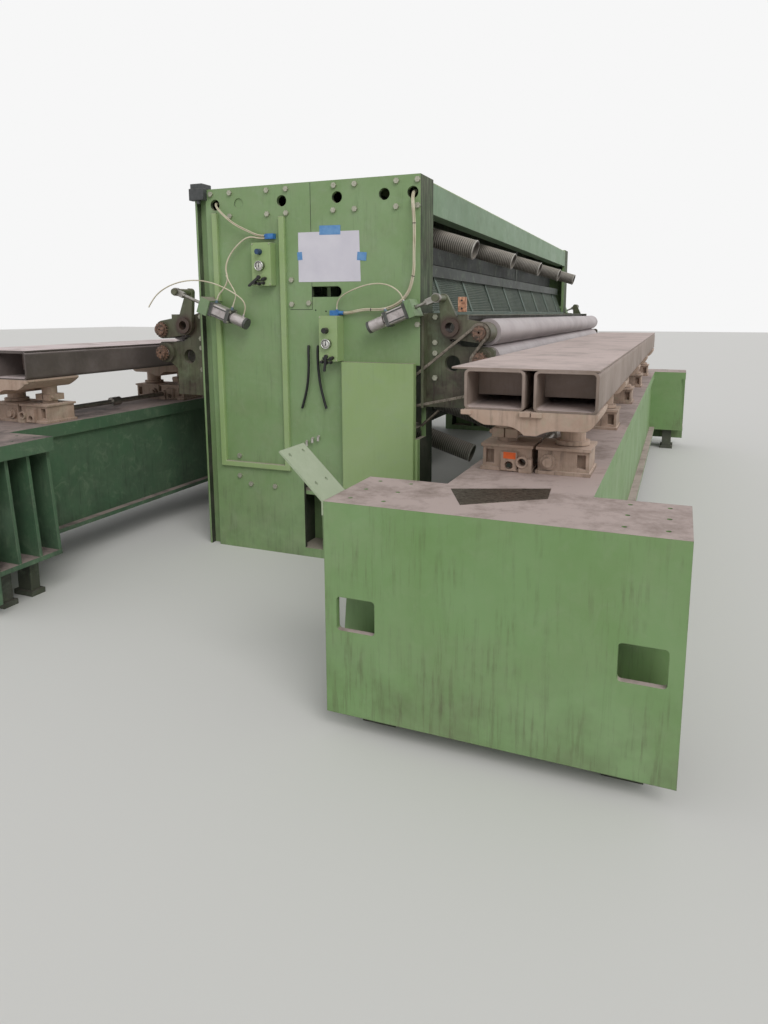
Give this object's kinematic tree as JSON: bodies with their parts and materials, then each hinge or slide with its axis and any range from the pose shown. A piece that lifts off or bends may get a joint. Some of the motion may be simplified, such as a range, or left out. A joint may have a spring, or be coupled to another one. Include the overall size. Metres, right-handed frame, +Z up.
{
  "type": "needle punching machine",
  "caption": "Needle loom: green tower with needle beam, nip rollers and air controls, between two floor beds that carry screw-lifted box beams.",
  "frame": {"origin": "centre of the bounding box on the floor", "axes": "+X is the way the web runs, from infeed to outfeed; +Y runs along the working width away from the near end; +Z is up"},
  "size_m": [4.594, 7.376, 2.387],
  "materials": {
    "green_paint": "worn satin",
    "dark_green_paint": "satin",
    "dusty_paint": "dusty matt",
    "roller_sleeve": "matt",
    "cylinder_aluminium": "satin",
    "hose_plastic": "matt",
    "black_plastic": "matt",
    "blue_plastic": "satin",
    "gauge_chrome": "polished",
    "pointer_paint": "matt",
    "zinc_steel": "satin",
    "machined_steel": "satin",
    "tube_plastic": "satin"
  },
  "bodies": {
    "frame": {"air_cylinders": "cylinder_aluminium", "air_manifolds": "blue_plastic", "bed_feet": "zinc_steel", "bed_plate": "machined_steel", "cable_ducts": "green_paint", "control_boxes": "green_paint", "cover_box": "green_paint", "cylinder_brackets": "green_paint", "drive_housings": "green_paint", "extraction_ducts": "green_paint", "extraction_hoses": "hose_plastic", "far_end_frame": "green_paint", "fascias": "green_paint", "frame_bolts": "zinc_steel", "guards": "dark_green_paint", "hood_rails": "dark_green_paint", "infeed_bed": "green_paint", "infeed_front_tube": "tube_plastic", "infeed_loose_tube": "tube_plastic", "infeed_rear_tube": "tube_plastic", "infeed_supply_tubes": "tube_plastic", "jack_housings": "green_paint", "left_lead": "black_plastic", "lower_table": "green_paint", "near_end_frame": "green_paint", "outfeed_bed": "green_paint", "outfeed_port_tube": "tube_plastic", "outfeed_supply_tubes": "tube_plastic", "pressure_gauges": "gauge_chrome", "right_lead": "black_plastic", "roller_brackets": "green_paint", "stop_bar": "machined_steel", "stripper_plate": "machined_steel", "top_cover": "green_paint", "upper_crossbeam": "green_paint"},
    "main_shaft": {"main_shaft": "machined_steel"},
    "needle_beam": {"needle_beam": "machined_steel", "needle_boards": "machined_steel", "push_rods": "machined_steel"},
    "outfeed_arms": {"outfeed_arms": "green_paint"},
    "infeed_arms": {"infeed_arms": "green_paint"},
    "outfeed_upper_roller": {"outfeed_upper_roller": "roller_sleeve"},
    "outfeed_lower_roller": {"outfeed_lower_roller": "roller_sleeve"},
    "infeed_upper_roller": {"infeed_upper_roller": "roller_sleeve"},
    "infeed_lower_roller": {"infeed_lower_roller": "roller_sleeve"},
    "outfeed_rods": {"outfeed_rods": "machined_steel"},
    "infeed_rods": {"infeed_rods": "machined_steel"},
    "outfeed_knob": {"outfeed_knob": "black_plastic"},
    "infeed_knob": {"infeed_knob": "black_plastic"},
    "outfeed_gauge_pointer": {"outfeed_gauge_pointer": "pointer_paint"},
    "infeed_gauge_pointer": {"infeed_gauge_pointer": "pointer_paint"},
    "outfeed_valve_lever": {"outfeed_valve_lever": "black_plastic"},
    "infeed_valve_lever": {"infeed_valve_lever": "black_plastic"},
    "outfeed_line_shaft": {"outfeed_line_shaft": "machined_steel"},
    "infeed_line_shaft": {"infeed_line_shaft": "machined_steel"},
    "outfeed_lifting_beam": {"outfeed_jack_columns": "green_paint", "outfeed_box_beams": "dusty_paint"},
    "infeed_lifting_beam": {"infeed_jack_columns": "green_paint", "infeed_box_beams": "dusty_paint"}
  },
  "joints": [
    {"name": "needle_stroke", "type": "slide", "parent": "frame", "child": "needle_beam", "axis": [0, 0, 1], "range_m": [0, 0.06]},
    {"name": "main_shaft_spin", "type": "hinge", "parent": "frame", "child": "main_shaft", "pos_m": [0, 0.78, 1.94], "axis": [0, 1, 0], "continuous": true},
    {"name": "outfeed_arm_lift", "type": "hinge", "parent": "frame", "child": "outfeed_arms", "pos_m": [0.958, 0.78, 1.515], "axis": [0, -1, 0], "range_deg": [0, 12]},
    {"name": "infeed_arm_lift", "type": "hinge", "parent": "frame", "child": "infeed_arms", "pos_m": [-0.958, 0.78, 1.515], "axis": [0, 1, 0], "range_deg": [0, 12]},
    {"name": "outfeed_lower_roller_spin", "type": "hinge", "parent": "frame", "child": "outfeed_lower_roller", "pos_m": [1.14, 0.78, 1.3265], "axis": [0, 1, 0], "continuous": true},
    {"name": "outfeed_upper_roller_spin", "type": "hinge", "parent": "outfeed_arms", "child": "outfeed_upper_roller", "pos_m": [1.14, 0.78, 1.487], "axis": [0, 1, 0], "continuous": true},
    {"name": "infeed_lower_roller_spin", "type": "hinge", "parent": "frame", "child": "infeed_lower_roller", "pos_m": [-1.14, 0.78, 1.3265], "axis": [0, 1, 0], "continuous": true},
    {"name": "infeed_upper_roller_spin", "type": "hinge", "parent": "infeed_arms", "child": "infeed_upper_roller", "pos_m": [-1.14, 0.78, 1.487], "axis": [0, 1, 0], "continuous": true},
    {"name": "outfeed_rod_slide", "type": "slide", "parent": "frame", "child": "outfeed_rods", "axis": [-0.9272, 0, -0.3746], "range_m": [0, 0.0375]},
    {"name": "infeed_rod_slide", "type": "slide", "parent": "frame", "child": "infeed_rods", "axis": [0.9336, 0, -0.3584], "range_m": [0, 0.048]},
    {"name": "outfeed_beam_lift", "type": "slide", "parent": "frame", "child": "outfeed_lifting_beam", "axis": [0, 0, 1], "range_m": [0, 0.056]},
    {"name": "infeed_beam_lift", "type": "slide", "parent": "frame", "child": "infeed_lifting_beam", "axis": [0, 0, 1], "range_m": [0, 0.056]},
    {"name": "outfeed_line_shaft_turn", "type": "hinge", "parent": "frame", "child": "outfeed_line_shaft", "pos_m": [1.614, 0.78, 0.9625], "axis": [0, 1, 0], "range_deg": [0, 1441]},
    {"name": "infeed_line_shaft_turn", "type": "hinge", "parent": "frame", "child": "infeed_line_shaft", "pos_m": [-1.614, 0.78, 0.9625], "axis": [0, 1, 0], "range_deg": [-1441, 0]},
    {"name": "outfeed_knob_turn", "type": "hinge", "parent": "frame", "child": "outfeed_knob", "pos_m": [0.206, -2.078, 1.494], "axis": [0, 1, 0], "range_deg": [0, 1080]},
    {"name": "outfeed_gauge_needle", "type": "hinge", "parent": "frame", "child": "outfeed_gauge_pointer", "pos_m": [0.213, -2.093, 1.414], "axis": [0, 1, 0], "range_deg": [0, 240], "stiffness_Nm_per_rad": 0.0005},
    {"name": "outfeed_lever_turn", "type": "hinge", "parent": "frame", "child": "outfeed_valve_lever", "pos_m": [0.214, -2.093, 1.338], "axis": [0, 1, 0], "range_deg": [0, 90]},
    {"name": "infeed_knob_turn", "type": "hinge", "parent": "frame", "child": "infeed_knob", "pos_m": [-0.267, -2.05, 1.978], "axis": [0, 1, 0], "range_deg": [0, 1080]},
    {"name": "infeed_gauge_needle", "type": "hinge", "parent": "frame", "child": "infeed_gauge_pointer", "pos_m": [-0.262, -2.065, 1.892], "axis": [0, 1, 0], "range_deg": [0, 240], "stiffness_Nm_per_rad": 0.0005},
    {"name": "infeed_lever_turn", "type": "hinge", "parent": "frame", "child": "infeed_valve_lever", "pos_m": [-0.266, -2.065, 1.822], "axis": [0, 1, 0], "range_deg": [-90, 0]}
  ],
  "couplings": [
    {"joint": "outfeed_upper_roller_spin", "follows": "outfeed_lower_roller_spin", "ratio": -1},
    {"joint": "infeed_upper_roller_spin", "follows": "infeed_lower_roller_spin", "ratio": -1},
    {"joint": "outfeed_rod_slide", "follows": "outfeed_arm_lift", "m_per_rad": 0.1739},
    {"joint": "infeed_rod_slide", "follows": "infeed_arm_lift", "m_per_rad": 0.2272},
    {"joint": "outfeed_line_shaft_turn", "follows": "outfeed_beam_lift", "rad_per_m": 448.8},
    {"joint": "infeed_line_shaft_turn", "follows": "infeed_beam_lift", "rad_per_m": -448.8}
  ]
}
